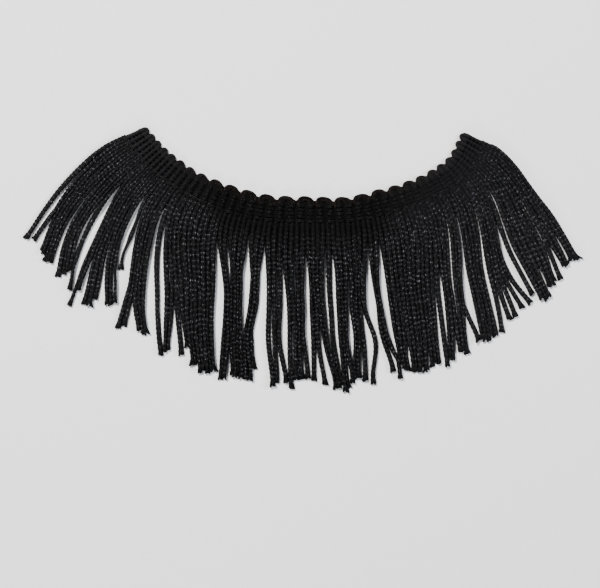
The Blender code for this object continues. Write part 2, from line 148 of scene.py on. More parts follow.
LOCKS = (
    (2, -101.6, 18.6, -99.0, 16.6, -109.4, 6.2, -106.6, 5.8, 0.0, 0.0),
    (5, -98.0, 14.6, -92.8, 13.8, -103.4, 2.6, -99.4, -1.4, 0.5, 0.0),
    (4, -92.2, 8.6, -88.4, 7.8, -95.6, -7.4, -91.4, -5.4, -1.0, 0.0),
    (1, -85.2, 9.4, -85.2, 9.4, -91.6, -11.4, -91.6, -11.4, 0.0, 0.0),
    (2, -82.6, 4.6, -81.4, 3.8, -90.6, -18.2, -87.8, -14.2, 0.0, 0.0),
    (3, -80.0, 3.4, -77.2, 2.6, -85.0, -17.8, -80.4, -15.0, 2.0, 0.0),
    (1, -75.6, 2.2, -75.6, 2.2, -77.2, -18.6, -77.2, -18.6, 0.0, 0.0),
    (2, -74.0, 2.2, -72.8, 2.2, -75.0, -17.4, -72.8, -18.2, 0.0, 0.0),
    (1, -68.8, 4.2, -68.8, 4.2, -71.8, -4.6, -71.8, -4.6, 0.0, 0.0),
    (2, -69.0, -17.4, -67.2, -17.4, -71.8, -28.2, -69.8, -28.6, 0.0, 0.0),
    (3, -65.4, -17.4, -61.8, -17.4, -64.4, -30.2, -61.0, -28.6, 1.6, 0.0),
    (1, -56.8, -17.4, -56.8, -17.4, -56.2, -38.6, -56.2, -38.6, 0.0, 0.0),
    (1, -52.8, -17.4, -52.8, -17.4, -54.4, -38.4, -54.4, -38.4, 0.0, 0.0),
    (1, -50.8, -17.4, -50.8, -17.4, -52.4, -36.6, -52.4, -36.6, 0.0, 0.0),
    (1, -48.9, -17.4, -48.9, -17.4, -47.0, -38.0, -47.0, -38.0, 0.0, 0.0),
    (1, -46.9, -17.4, -46.9, -17.4, -44.7, -37.2, -44.7, -37.2, 0.0, 0.0),
    (2, -44.8, -17.4, -43.0, -17.4, -42.9, -41.6, -41.4, -43.8, 0.0, 0.0),
    (5, -41.3, -17.4, -34.5, -17.4, -39.6, -46.2, -34.4, -43.8, 0.3, 0.0),
    (2, -29.5, -17.4, -28.6, -17.4, -30.9, -48.6, -28.6, -48.2, 0.0, 0.0),
    (4, -26.0, -17.4, -23.6, -17.4, -26.8, -46.8, -23.8, -47.6, 0.2, 0.0),
    (3, -18.7, -15.8, -16.7, -15.8, -21.4, -48.8, -18.2, -44.8, 0.4, -1.4),
    (3, -11.9, -17.4, -7.6, -17.4, -10.6, -49.8, -5.6, -49.0, 0.0, -0.8),
    (2, -4.3, -18.2, -2.4, -18.2, -3.0, -51.8, -0.8, -49.0, 0.0, 0.0),
    (1, -0.2, -18.2, -0.2, -18.2, 1.0, -48.6, 1.0, -48.6, 0.0, 0.0),
    (1, 1.8, -18.2, 1.8, -18.2, 4.0, -49.4, 4.0, -49.4, 0.0, -0.8),
    (1, 4.9, -18.2, 4.9, -18.2, 6.6, -49.4, 6.6, -49.4, 0.0, 0.0),
    (1, 6.4, -18.2, 6.4, -18.2, 10.8, -50.2, 10.8, -50.2, 0.0, -0.8),
    (2, 7.8, -18.2, 9.1, -18.2, 14.8, -51.0, 16.0, -51.4, 0.0, -0.6),
    (1, 12.6, -18.2, 12.6, -18.2, 17.0, -51.8, 17.0, -51.8, 0.0, -0.8),
    (3, 15.9, -18.2, 19.0, -18.2, 18.2, -51.8, 20.4, -48.6, 0.0, -0.4),
    (2, 20.9, -18.2, 22.6, -18.2, 21.4, -48.6, 22.8, -48.2, 0.0, 1.6),
    (1, 24.2, -18.2, 24.2, -18.2, 27.2, -48.2, 27.2, -48.2, 0.0, 0.4),
    (1, 25.9, -18.2, 25.9, -18.2, 29.0, -50.0, 29.0, -50.0, 0.0, 3.2),
    (2, 31.4, -18.2, 32.6, -18.2, 37.8, -45.4, 41.8, -48.6, 0.0, -1.2),
    (2, 36.6, -17.4, 38.2, -17.4, 39.8, -41.8, 41.6, -43.8, 0.0, 0.0),
    (9, 40.0, -15.4, 53.4, -16.6, 43.6, -44.6, 55.6, -42.0, 0.6, 0.0),
    (1, 55.8, -17.4, 55.8, -17.4, 58.8, -42.2, 58.8, -42.2, 0.0, 0.0),
    (3, 57.5, -11.4, 60.2, -11.0, 61.2, -40.6, 63.6, -38.6, 0.0, 0.0),
    (2, 62.8, -11.4, 64.0, -11.0, 65.0, -37.8, 66.6, -36.6, 0.0, 0.0),
    (1, 65.6, -18.6, 65.6, -18.6, 71.4, -31.8, 71.4, -31.8, 0.0, 0.0),
    (2, 68.4, -9.4, 69.8, -9.0, 72.6, -32.6, 74.4, -32.4, 0.0, 0.0),
    (3, 71.6, -11.0, 74.0, -9.8, 75.8, -31.8, 78.8, -30.4, 0.0, 0.0),
    (4, 77.0, -9.8, 82.8, -9.4, 82.0, -28.6, 88.4, -20.6, 0.0, 0.0),
    (1, 84.7, -9.4, 84.7, -9.4, 91.8, -18.2, 91.8, -18.2, 0.0, 0.0),
    (1, 85.4, -1.4, 85.4, -1.4, 93.4, -16.2, 93.4, -16.2, 0.0, 0.0),
    (7, 87.1, 1.8, 96.0, 10.2, 96.4, -17.0, 103.5, -7.6, 0.6, 0.0),
    (4, 92.7, 19.4, 97.2, 21.0, 104.6, -2.4, 110.3, 1.0, 0.3, 0.0),
)


def table(rows, columns):
    """The rows of a table as arrays under their column names, lengths turned into metres."""
    values = np.array(rows, float)
    found = {}
    for i, column in enumerate(columns):
        found[column] = values[:, i] * (1.0 if column == "cords" else MM)
    return found


print(len(SECTIONS), "sections,", len(LOCKS), "locks of", sum(r[0] for r in LOCKS), "cords")

# %% [markdown]
# # The band's two edges
# A smooth curve runs through the section points. Along it the scallops are counted: the count grows
# by 1 / pitch for each metre, and the pitch eases from 7.6 mm in the middle to 3.4 mm at the ends.


# %%
def spline(knots, at):
    """A smooth curve through evenly numbered knots, read at the numbers `at`: each span is the cubic
    that leaves and meets its knots along the line between their neighbours."""
    knots = np.asarray(knots, float)
    slope = np.gradient(knots, axis=0)
    at = np.clip(np.asarray(at, float), 0, len(knots) - 1)
    i = np.minimum(at.astype(int), len(knots) - 2)
    t = (at - i)[:, None]
    a = knots[i] * (2 * t**3 - 3 * t**2 + 1) + slope[i] * (t**3 - 2 * t**2 + t)
    return a + knots[i + 1] * (3 * t**2 - 2 * t**3) + slope[i + 1] * (t**3 - t**2)


def band_edges(count_along):
    """Points on the heading's top and low edges where the running count of scallops is the given one."""
    s = table(SECTIONS, SECTION_COLUMNS)
    top_knots = np.stack([s["top_x"], s["top_y"]], axis=1)
    low_knots = np.stack([s["low_x"], s["low_y"]], axis=1)
    fine = np.linspace(0, len(SECTIONS) - 1, 2001)
    top = spline(top_knots, fine)
    step = np.linalg.norm(np.diff(top, axis=0), axis=1)
    run = np.concatenate([[0], np.cumsum(step)])
    from_end = np.minimum(run, run[-1] - run)
    ease = np.clip(from_end / EASED_LENGTH, 0, 1)
    ease = ease * ease * (3 - 2 * ease)
    pitch = PITCH_END + (PITCH_MIDDLE - PITCH_END) * ease
    count = np.concatenate([[0], np.cumsum(step / ((pitch[1:] + pitch[:-1]) / 2))])
    count *= SCALLOPS / count[-1]
    at = np.interp(np.ravel(count_along), count, fine)
    return spline(top_knots, at), spline(low_knots, at)


def wobble(i, seed):
    """A repeatable uneven number from -1 to 1 for each whole number i."""
    v = np.sin(np.asarray(i, float) * 12.9898 + seed * 78.233) * 43758.5453
    return 2 * (v - np.floor(v)) - 1


TOP, LOW = band_edges(np.linspace(0, SCALLOPS, 1001))
lowest_corner = np.array([LOW[:, 0].min(), min(TOP[:, 1].min(), LOW[:, 1].min())])
SHIFT = np.array(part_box("heading")[0][:2]) - lowest_corner
print("the drawing moves by, mm:", np.round(SHIFT / MM, 3))

# %% [markdown]
# # The cords' routes
# Each cord leaves the band along the band's own direction and turns towards its tip. Its lock draws
# it in at half length and bows it, its tip is moved a little off its place, and then neighbours that
# came too close are moved apart. Where cords still crowd they are narrower, and every second one lies
# higher.


# %%
def unit(v):
    """Vectors of length one."""
    return v / np.linalg.norm(v, axis=-1, keepdims=True)


def cubic(start, end, start_pull, end_pull, t):
    """The cubics that leave their starts and meet their ends with the given pulls, read at t."""
    t = t[..., None]
    a = start[:, None] * (2 * t**3 - 3 * t**2 + 1) + start_pull[:, None] * (t**3 - 2 * t**2 + t)
    return a + end[:, None] * (3 * t**2 - 2 * t**3) + end_pull[:, None] * (t**3 - t**2)


def cord_routes(samples):
    """The plan of every cord, as an array of cords by samples by two. A cord is two cubic spans, from
    its root by its place at half way to its tip. It leaves the root in the heading's own direction and
    passes half way in the mean direction of both spans. The first and last cord of a lock have their
    places in the table, and the others share the room between them evenly."""
    locks = table(LOCKS, LOCK_COLUMNS)
    many = locks["cords"].astype(int)
    lock_of = np.repeat(np.arange(len(many)), many)
    place = np.concatenate([np.arange(n) for n in many])
    share = np.where(many[lock_of] > 1, place / np.maximum(many[lock_of] - 1, 1), 0.5)[:, None]
    k = np.arange(CORDS)
    top, low = band_edges((k + 0.5) / 4 + 0.015 * wobble(k, 1))
    away = unit(low - top)
    root = low + away * (STRIP_GAP + STRIP_WIDTH)
    ends = {}
    for name in ("half_first", "half_last", "tip_first", "tip_last"):
        ends[name] = np.stack([locks[name + "_x"], locks[name + "_y"]], axis=1)[lock_of]
    half = ends["half_first"] * (1 - share) + ends["half_last"] * share
    tip = ends["tip_first"] * (1 - share) + ends["tip_last"] * share
    lean = unit(tip - half)
    extra = locks["longer"][lock_of][:, None] * 4 * share * (1 - share) + RAGGED * wobble(k, 2)[:, None]
    tip = tip + lean * extra
    reach_1 = np.linalg.norm(half - root, axis=1, keepdims=True)
    reach_2 = np.linalg.norm(tip - half, axis=1, keepdims=True)
    turn = unit(unit(half - root) * reach_2 + lean * reach_1)
    part = reach_1 / (reach_1 + reach_2)
    t = np.linspace(0, 1, samples)[None]
    upper = cubic(root, half, away * reach_1 * ROOT_PULL, turn * reach_1, np.clip(t / part, 0, 1))
    lower = cubic(half, tip, turn * reach_2, lean * reach_2, np.clip((t - part) / (1 - part), 0, 1))
    path = np.where((t < part)[..., None], upper, lower)
    across = np.stack([-lean[:, 1], lean[:, 0]], axis=1)[:, None]
    swing = np.sin(np.pi * np.clip((t - HOOK_FROM) / (1 - HOOK_FROM), 0, 1)) ** 2
    path = path + across * (locks["hook"][lock_of][:, None] * swing)[..., None]
    for which, size, seed in ((lock_of, WANDER, 3), (k, WANDER / 2, 11)):
        waves = 1.1 + 0.4 * wobble(which, seed)[:, None]
        turns = waves * t + 0.5 * wobble(which, seed + 1)[:, None]
        wander = np.sin(2 * np.pi * turns) * np.clip(t / 0.3, 0, 1)
        path = path + across * (size * wander)[..., None]
    spread = TIP_SPREAD * wobble(k, 51)[:, None] * np.clip((t - 0.72) / 0.28, 0, 1) ** 2
    path = path + across * spread[..., None]
    return part_neighbours(path), away


def sides(path):
    """The unit vector across each cord at each sample."""
    along = np.gradient(path, axis=1)
    along /= np.linalg.norm(along, axis=2, keepdims=True)
    return np.stack([-along[..., 1], along[..., 0]], axis=2)


def part_neighbours(path):
    """Moves each two neighbours that are closer than CLOSEST apart, sideways and by equal shares."""
    t = np.linspace(0, 1, path.shape[1])
    hold = np.clip(t / 0.06, 0, 1)[None, :, None]
    for _ in range(60):
        side = sides(path)
        mean_side = side[1:] + side[:-1]
        mean_side /= np.linalg.norm(mean_side, axis=2, keepdims=True)
        apart = ((path[1:] - path[:-1]) * mean_side).sum(axis=2, keepdims=True)
        push = np.clip(CLOSEST * 1.02 - apart, 0, None) * mean_side * 0.25 * hold
        path[1:] += push
        path[:-1] -= push
    return path


def ride_height(path):
    """How high every second cord lies where its neighbours leave it less than its own thickness, and
    the share of its width that crowding leaves a cord. The height is the one at which a cord rests in
    the notch between two others. Both are smoothed along the cord."""
    near = np.full(path.shape[:2], 1.0)
    gap = np.abs(((path[1:] - path[:-1]) * sides(path)[1:]).sum(axis=2))
    near[1:] = np.minimum(near[1:], gap)
    near[:-1] = np.minimum(near[:-1], gap)
    odd = (np.arange(CORDS) % 2 == 1)[:, None]
    t = np.linspace(0, 1, path.shape[1])
    thick = CORD_DIAMETER * (1 - CORD_SLIMS * t * (2 - t))
    fuller = 1.12 + 0.22 * np.clip(1 - t / ROOTS_FULL, 0, 1)
    width = np.clip(fuller * near / thick, SQUEEZE, 1.0)
    lift = np.sqrt(np.clip((thick * width) ** 2 - near**2, 0, None)) * odd
    lift = lift * np.clip(t / ROOTS_LEVEL, 0, 1) ** 2
    for _ in range(2):
        for values in (lift, width):
            values[:, 1:-1] = (values[:, :-2] + 2 * values[:, 1:-1] + values[:, 2:]) / 4
    return lift, width


plan, away = cord_routes(49)
lift, width = ride_height(plan)
length = np.linalg.norm(np.diff(plan, axis=1), axis=2).sum(axis=1)
print("cord lengths, mm:", np.round([length.min() / MM, length.mean() / MM, length.max() / MM], 1))
print("one by one:", np.round(length / MM).astype(int).tolist())

# %% [markdown]
# # Making meshes from arrays
# One function turns a grid of points, closed round one way and with or without caps, into a mesh.


# %%
def tube_faces(tubes, rows, around, offset=0):
    """Quads of many tubes of the same size, each a grid of rows by around, plus two cap points each."""
    r, a = np.meshgrid(np.arange(rows - 1), np.arange(around), indexing="ij")
    r, a = r.ravel(), a.ravel()
    b = (a + 1) % around
    quads = np.stack([r * around + a, r * around + b, (r + 1) * around + b, (r + 1) * around + a], axis=1)
    a = np.arange(around)
    b = (a + 1) % around
    start, end = rows * around, rows * around + 1
    last = (rows - 1) * around
    caps = np.concatenate(
        [
            np.stack([b, a, np.full(around, start)], axis=1),
            np.stack([last + a, last + b, np.full(around, end)], axis=1),
        ]
    )
    each = rows * around + 2
    shift = (np.arange(tubes) * each + offset)[:, None, None]
    return (quads[None] + shift).reshape(-1, 4), (caps[None] + shift).reshape(-1, 3)


def add_mesh(name, points, quads, tris, uv, wrap):
    """A mesh object from whole arrays, smooth shaded, with a UV pair for each point. U runs round a
    tube, and on the faces that close the ring its small values go up by one turn, `wrap`."""
    mesh = bpy.data.meshes.new(name)
    points = np.asarray(points, np.float32).reshape(-1, 3)
    loops = np.concatenate([np.ravel(quads), np.ravel(tris)]).astype(np.int32)
    totals = np.concatenate([np.full(len(quads), 4), np.full(len(tris), 3)]).astype(np.int32)
    starts = np.concatenate([[0], np.cumsum(totals)[:-1]]).astype(np.int32)
    mesh.vertices.add(len(points))
    mesh.vertices.foreach_set("co", points.ravel())
    mesh.loops.add(len(loops))
    mesh.loops.foreach_set("vertex_index", loops)
    mesh.polygons.add(len(totals))
    mesh.polygons.foreach_set("loop_start", starts)
    mesh.polygons.foreach_set("use_smooth", np.ones(len(totals), bool))
    corner_uv = np.asarray(uv, np.float32).reshape(-1, 2)[loops]
    u = corner_uv[: 4 * len(quads), 0].reshape(-1, 4)
    u += wrap * (u < u.max(axis=1, keepdims=True) - wrap / 2)
    corner_uv[: 4 * len(quads), 0] = u.ravel()
    layer = mesh.uv_layers.new(name="UVMap")
    layer.data.foreach_set("uv", corner_uv.ravel())
    mesh.update(calc_edges=True)
    mesh.validate()
    obj = bpy.data.objects.new(name, mesh)
    bpy.context.scene.collection.objects.link(obj)
    print(name, "points", len(points), "triangles", 2 * len(quads) + len(tris))
    return obj


def carry(centre, radius, around):
    """Rings carried along many centre lines: centre is tubes by rows by three, radius tubes by rows.
    Returns the points and the two cap points of each tube."""
    along = np.gradient(centre, axis=1)
    along /= np.linalg.norm(along, axis=2, keepdims=True) + 1e-12
    up = np.array([0.0, 0.0, 1.0])
    side = np.cross(along, up)
    side /= np.linalg.norm(side, axis=2, keepdims=True) + 1e-12
    over = np.cross(side, along)
    turn = np.arange(around) * 2 * math.pi / around
    ring = (
        centre[:, :, None]
        + (radius[:, :, None] * np.cos(turn))[..., None] * side[:, :, None]
        + (radius[:, :, None] * np.sin(turn))[..., None] * over[:, :, None]
    )
    return ring, centre[:, :1], centre[:, -1:]


# %% [markdown]
# # Knitted cords
# The grid of a cord follows the stitches. Across a column of Vs the rows step forward and back by
# V_RISE of a stitch, so the grid's own lines are the arms of the Vs. Along a stitch the radius falls
# by STITCH_DEEP, because each V comes out of the one before it, and it dips by WALE_DEEP in the middle
# of a column and twice that between columns. The crests stand out by FULLNESS, crowded cords keep
# only their share of width, and a cord's stitches are unevenly long, so that those of neighbours
# don't fall in line.


# %%
def cord_frames(which):
    """Fine centre lines of the chosen cords, with a lead inside the heading, and their running length."""
    flat = plan[which]
    lead_len = STRIP_GAP + STRIP_WIDTH + 1.6 * MM
    steps = np.linspace(1, 0.12, 6)[None, :, None]
    lead = flat[:, :1] - away[which][:, None] * lead_len * steps
    xy = np.concatenate([lead, flat], axis=1) + SHIFT
    k = which[:, None]
    t = np.linspace(0, 1, flat.shape[1])
    low_z = CORD_DIAMETER * (1 - CORD_SLIMS * t * (2 - t)) / 2 + lift[which]
    lead_z = np.repeat(low_z[:, :1], 6, axis=1)
    z = np.concatenate([lead_z, low_z], axis=1)
    line = np.concatenate([xy, z[..., None]], axis=2)
    run = np.concatenate(
        [np.zeros((len(which), 1)), np.cumsum(np.linalg.norm(np.diff(line, axis=1), axis=2), axis=1)], axis=1
    )
    sway = 0.10 * MM * np.sin(run / (5.5 * MM) + 2.6 * wobble(k, 5)) * np.clip(run / (8 * MM), 0, 1)
    across = np.concatenate([sides(line[..., :2]), np.zeros(z.shape + (1,))], axis=2)
    return line + across * sway[..., None], run


def read_along(values, run, at):
    """Values given at running lengths, read at other running lengths, for each cord."""
    out = np.empty(at.shape + (values.shape[-1],))
    for i in range(len(values)):
        for c in range(values.shape[-1]):
            out[i, ..., c] = np.interp(at[i], run[i], values[i, :, c])
    return out


def knitted_cords(name, which):
    """One mesh of the chosen cords."""
    line, run = cord_frames(which)
    total = run[:, -1]
    along = np.gradient(line, axis=1)
    along /= np.linalg.norm(along, axis=2, keepdims=True)
    side = np.cross(along, np.array([0.0, 0.0, 1.0]))
    side /= np.linalg.norm(side, axis=2, keepdims=True)
    over = np.cross(side, along)
    rows = STITCHES * ROWS_PER_STITCH + 1
    row, column = np.meshgrid(np.arange(rows), np.arange(AROUND), indexing="ij")
    phase = row / ROWS_PER_STITCH
    zig = V_RISE * np.array([0.5, 0.0, -0.5, 0.0])[column % 4]
    fade = np.clip(np.minimum(phase, STITCHES - phase) / 0.9, 0, 1)
    stitch = total[:, None, None] / STITCHES
    slip = 0.5 * wobble(which, 8)[:, None, None]
    share = phase / STITCHES
    uneven = 0.6 * wobble(which, 41)[:, None, None] * np.sin(2 * math.pi * share)
    uneven = uneven + 0.4 * wobble(which, 42)[:, None, None] * np.sin(4 * math.pi * share)
    at = (phase + uneven + (zig + slip) * fade) * stitch
    pressed = np.concatenate([np.repeat(width[which][:, :1], 6, axis=1), width[which]], axis=1)
    read = read_along(np.concatenate([line, side * pressed[..., None], over], axis=2), run, at)
    fall = np.array(STITCH_FALL)[row % ROWS_PER_STITCH]
    dip = np.array([1.0, 0.0, 2.0, 0.0])[column % 4]
    k = which[:, None, None]
    t = at / total[:, None, None]
    thick = CORD_DIAMETER / 2 * (1 - CORD_SLIMS * t * (2 - t))
    thick = thick * (1 + 0.025 * np.sin(at / (6.1 * MM) + 3 * wobble(k, 6)))
    to_tip = total[:, None, None] - at
    flare = 1 + (0.20 + 0.08 * wobble(k, 9)) * np.exp(-((to_tip / (1.5 * MM)) ** 2))
    radius = thick * flare + FULLNESS - STITCH_DEEP * fall[None] - WALE_DEEP * dip[None] / 2
    spin = 2 * math.pi * column[None] / AROUND + 0.5 * np.sin(at / (17 * MM) + 3 * wobble(k, 7)) + k
    points = (
        read[..., :3]
        + (radius * np.cos(spin))[..., None] * read[..., 3:6]
        + (radius * np.sin(spin))[..., None] * read[..., 6:9]
    )
    points[..., 2] = np.maximum(points[..., 2], 0.02 * MM)
    caps = np.stack([line[:, 0], line[:, -1] - along[:, -1] * 0.25 * MM], axis=1)
    grid = points.reshape(len(which), -1, 3)
    everything = np.concatenate([grid, caps], axis=1)
    # painted shade at the roots: outside the middle cords the V count starts higher, so painted highlights
    # come up sooner
    outside = np.maximum(np.maximum(SHADED_CORDS[0] - k, k - SHADED_CORDS[1]), 0)
    early = np.minimum(outside, LESS_SHADE) * (1 - phase / STITCHES)
    uv = np.stack([np.broadcast_to(column / 4, at.shape), phase + early + UV_PER_CORD * k], axis=3)
    uv = np.concatenate([uv.reshape(len(which), -1, 2), np.zeros((len(which), 2, 2))], axis=1)
    quads, tris = tube_faces(len(which), rows, AROUND)
    return add_mesh(name, everything, quads[:, ::-1], tris[:, ::-1], uv, wrap=WALES)


parts_of_fringe = []
for part, which in enumerate(np.array_split(np.arange(CORDS), 4)):
    parts_of_fringe.append(knitted_cords(f"cords_{part + 1}", which))

# %% [markdown]
# # Cut ends
# At its cut end a cord opens into its yarns. Each is a short, slightly tapering tuft that leaves the
# end a little aslant and lies down towards the surface. On some cords they spread wider.

# %%
END_YARNS = 6
END_ROWS = 7
END_THICK = 0.84 * MM


def cut_ends(name):
    """The yarn ends of all cords as one mesh."""
    which = np.arange(CORDS)
    line, run = cord_frames(which)
    tip = line[:, -1]
    along = line[:, -1] - line[:, -4]
    along /= np.linalg.norm(along, axis=1, keepdims=True)
    side = np.stack([along[:, 1], -along[:, 0], np.zeros(CORDS)], axis=1)
    k = np.repeat(which, END_YARNS)
    j = np.tile(np.arange(END_YARNS), CORDS)
    n = k * END_YARNS + j
    wide_open = (wobble(k, 11) > 0.74).astype(float)
    turn = 2 * math.pi * (j + 0.5 * wobble(n, 12)) / END_YARNS
    out = 0.62 * MM
    start = tip[k] - along[k] * 0.9 * MM
    start = start + side[k] * (out * width[k, -1] * 1.2 * np.cos(turn))[:, None]
    start[:, 2] += 0.8 * out * np.sin(turn)
    aslant = 0.45 * wobble(k, 16) * np.cos(turn)
    reach = (1.45 + 0.30 * wobble(n, 13) + aslant + 0.5 * wide_open) * MM
    spread = np.cos(turn) * (0.22 * width[k, -1] + 0.26 * wide_open) + 0.10 * wobble(n, 14)
    t = np.linspace(0, 1, END_ROWS)
    points = (
        start[:, None]
        + along[k][:, None] * (reach[:, None] * t)[..., None]
        + side[k][:, None] * (reach[:, None] * spread[:, None] * t**1.5)[..., None]
    )
    drop = (start[:, 2] - END_THICK / 2)[:, None] * (0.25 + 0.35 * (wobble(n, 15)[:, None] + 1) / 2)
    points[..., 2] -= drop * t**2
    thick = np.broadcast_to(END_THICK / 2 * (1.05 - 0.22 * t**3), points.shape[:2])
    points[..., 2] = np.maximum(points[..., 2], thick)
    ring, first, last = carry(points, thick, 6)
    grid = np.concatenate([ring.reshape(len(k), -1, 3), first, last], axis=1)
    quads, tris = tube_faces(len(k), END_ROWS, 6)
    uv = np.zeros((len(k), END_ROWS, 6, 2))
    uv[..., 0] = np.arange(6) / 6
    uv[..., 1] = (t * 2)[None, :, None] + n[:, None, None]
    uv = np.concatenate([uv.reshape(len(k), -1, 2), np.zeros((len(k), 2, 2))], axis=1)
    return add_mesh(name, grid, quads, tris, uv, wrap=1)


ends = cut_ends("cord_cut_ends")

# %% [markdown]
# # The heading's loops
# A place on the band is a scallop count along it and a share across it. Each scallop is a bundle of
# yarns that comes up one rib, arches over, and goes down the next: along the arch the count moves as
# a cosine and the share as a sine. The bundle is round on top and spreads flat on the ribs.


# %%
def on_band(count, across):
    """Plan points at scallop counts along the band and shares across it, as arrays of one shape."""
    count, across = np.broadcast_arrays(count, across)
    top, low = band_edges(count)
    flat = top + (low - top) * np.ravel(across)[:, None] + SHIFT
    return flat.reshape(count.shape + (2,))


LOOP_ROWS = 36
LOOP_FOOT = 0.40
LOOP_APEX = 0.092
LOOP_YARN = 0.80 * MM
# Where each yarn lies in the bundle, in mm outwards and up from its middle.
BUNDLE_COLUMNS = ("out", "up")
BUNDLE = (
    (0.64, -0.10),
    (0.42, 0.52),
    (-0.20, 0.68),
    (-0.66, 0.20),
    (-0.45, -0.46),
    (0.22, -0.60),
    (0.00, 0.02),
)


def heading_loops(name):
    """The looped yarns of all scallops as one mesh."""
    offs = table(BUNDLE, BUNDLE_COLUMNS)
    yarns = len(BUNDLE)
    i = np.arange(SCALLOPS)[:, None]
    phi = np.linspace(0, math.pi, LOOP_ROWS)[None]
    lift_up = np.sin(phi) ** 0.40
    u = 0.5 - 0.295 * np.cos(phi) - (0.08 + 0.02 * wobble(i, 21)) * np.sin(phi)
    v = LOOP_FOOT - (LOOP_FOOT - LOOP_APEX - 0.008 * wobble(i, 22)) * lift_up
    plan_line = on_band(i + u, v)
    along = np.gradient(plan_line, axis=1)
    along /= np.linalg.norm(along, axis=2, keepdims=True)
    out = np.stack([-along[..., 1], along[..., 0]], axis=2)
    pitch = np.linalg.norm(on_band(i + 1.0, 0.2) - on_band(i + 0.0, 0.2), axis=2)
    small = np.clip(pitch / PITCH_MIDDLE, 0.55, 1.0)
    # On the ribs the bundle is wider and lower than on the arch.
    leg = 1 - np.sin(phi)
    centre = []
    for y in range(yarns):
        turn = 0.5 * wobble(i + 40 * y, 23) + 0.5 * np.cos(phi)
        a = offs["out"][y] * np.cos(turn) - offs["up"][y] * np.sin(turn)
        b = offs["out"][y] * np.sin(turn) + offs["up"][y] * np.cos(turn)
        a = a * small * (1 + 0.75 * leg)
        b = b * (1 - 0.30 * leg) * small**0.5
        flat = plan_line + out * a[..., None]
        z = (1.36 * small**0.3) * MM + b
        centre.append(np.concatenate([flat, z[..., None]], axis=2))
    centre = np.stack(centre, axis=1).reshape(-1, LOOP_ROWS, 3)
    thick = np.repeat(LOOP_YARN / 2 * small**0.6, yarns, axis=0) * np.ones((1, LOOP_ROWS))
    ring, first, last = carry(centre, thick, 8)
    ring[..., 2] = np.maximum(ring[..., 2], 0.05 * MM)
    tubes = SCALLOPS * yarns
    grid = np.concatenate([ring.reshape(tubes, -1, 3), first, last], axis=1)
    quads, tris = tube_faces(tubes, LOOP_ROWS, 8)
    uv = np.zeros((tubes, LOOP_ROWS, 8, 2))
    uv[..., 0] = np.arange(8) / 8
    uv[..., 1] = np.linspace(0, 12, LOOP_ROWS)[None, :, None]
    uv[..., 1] += np.arange(tubes)[:, None, None]
    uv = np.concatenate([uv.reshape(tubes, -1, 2), np.zeros((tubes, 2, 2))], axis=1)
    return add_mesh(name, grid, quads, tris, uv, wrap=1)


loops = heading_loops("heading_loops")

# %% [markdown]
# # Chain stitches
# Five chains run along the band. Where a chain crosses a rib it shows as two threads side by side,
# a flattened yarn ring that arches over the rib and dives into the grooves on both sides.

# %%
STITCH_ROW_FIRST = 0.358
STITCH_ROW_STEP = 0.139
STITCH_THREAD = 0.50 * MM
STITCH_HALF_WIDTH = 0.029
RING_ROWS = 28


def chain_stitches(name):
    """All stitches as one mesh of closed rings."""
    r, q = np.meshgrid(np.arange(RIBS), np.arange(STITCH_ROWS), indexing="ij")
    r, q = r.ravel()[:, None], q.ravel()[:, None]
    n = r * STITCH_ROWS + q
    psi = (2 * math.pi * np.arange(RING_ROWS) / RING_ROWS)[None]
    c, s = np.cos(psi), np.sin(psi)
    a = np.sign(c) * np.abs(c) ** 0.8
    b = np.sign(s) * np.abs(s) ** 0.85
    aslant = 0.10 * wobble(n, 31)
    count = (r + 0.5) / 2 + 0.168 * a
    v = STITCH_ROW_FIRST + STITCH_ROW_STEP * q + 0.012 * wobble(n, 32) + 0.016 * (r % 2)
    v = v + STITCH_HALF_WIDTH * (b + aslant * a)
    flat = on_band(count, v)
    z = (1.25 + 1.60 * (1 - np.abs(a) ** 2.4) + 0.06 * b + 0.05 * wobble(n, 33)) * MM
    centre = np.concatenate([flat, z[..., None]], axis=2)
    along = np.roll(centre, -1, axis=1) - np.roll(centre, 1, axis=1)
    along /= np.linalg.norm(along, axis=2, keepdims=True)
    side = np.cross(along, np.array([0.0, 0.0, 1.0]))
    side /= np.linalg.norm(side, axis=2, keepdims=True) + 1e-9
    over = np.cross(side, along)
    around = 7
    turn = np.arange(around) * 2 * math.pi / around
    small = np.linalg.norm(on_band(r / 2 + 0.5, 0.6) - on_band(r / 2 + 0.0, 0.6), axis=2) / (4.1 * MM)
    thick = (STITCH_THREAD / 2 * np.clip(small, 0.7, 1) ** 0.3)[..., None]
    ring = (
        centre[:, :, None]
        + (thick * np.cos(turn))[..., None] * side[:, :, None]
        + (thick * np.sin(turn))[..., None] * over[:, :, None]
    )
    rings = len(ring)
    i, j = np.meshgrid(np.arange(RING_ROWS), np.arange(around), indexing="ij")
    i, j = i.ravel(), j.ravel()
    ii, jj = (i + 1) % RING_ROWS, (j + 1) % around
    quads = np.stack([i * around + j, i * around + jj, ii * around + jj, ii * around + j], axis=1)
    quads = (quads[None] + (np.arange(rings) * RING_ROWS * around)[:, None, None]).reshape(-1, 4)
    uv = np.zeros((rings, RING_ROWS, around, 2))
    uv[..., 0] = np.arange(around) / around
    uv[..., 1] = 8 * np.abs(np.linspace(-1, 1, RING_ROWS))[None, :, None] + n[:, :, None]
    return add_mesh(name, ring, quads, np.zeros((0, 3), int), uv, wrap=1)


stitches = chain_stitches("heading_chain_stitches")

# %% [markdown]
# # The ground of the band
# Under the stitches lie the ribs themselves. Their section across the band, flat below and raised
# above, is carried along it, and its height follows the ribs: full in the middle of each and low in
# the grooves. Its upper edge follows the scallops a little inside the loops, and below the ribs it
# goes on as a thin skirt under the first millimetres of the cords.

# %%
GROUND_TOP_POINTS = 30
GROUND_PER_SCALLOP = 12


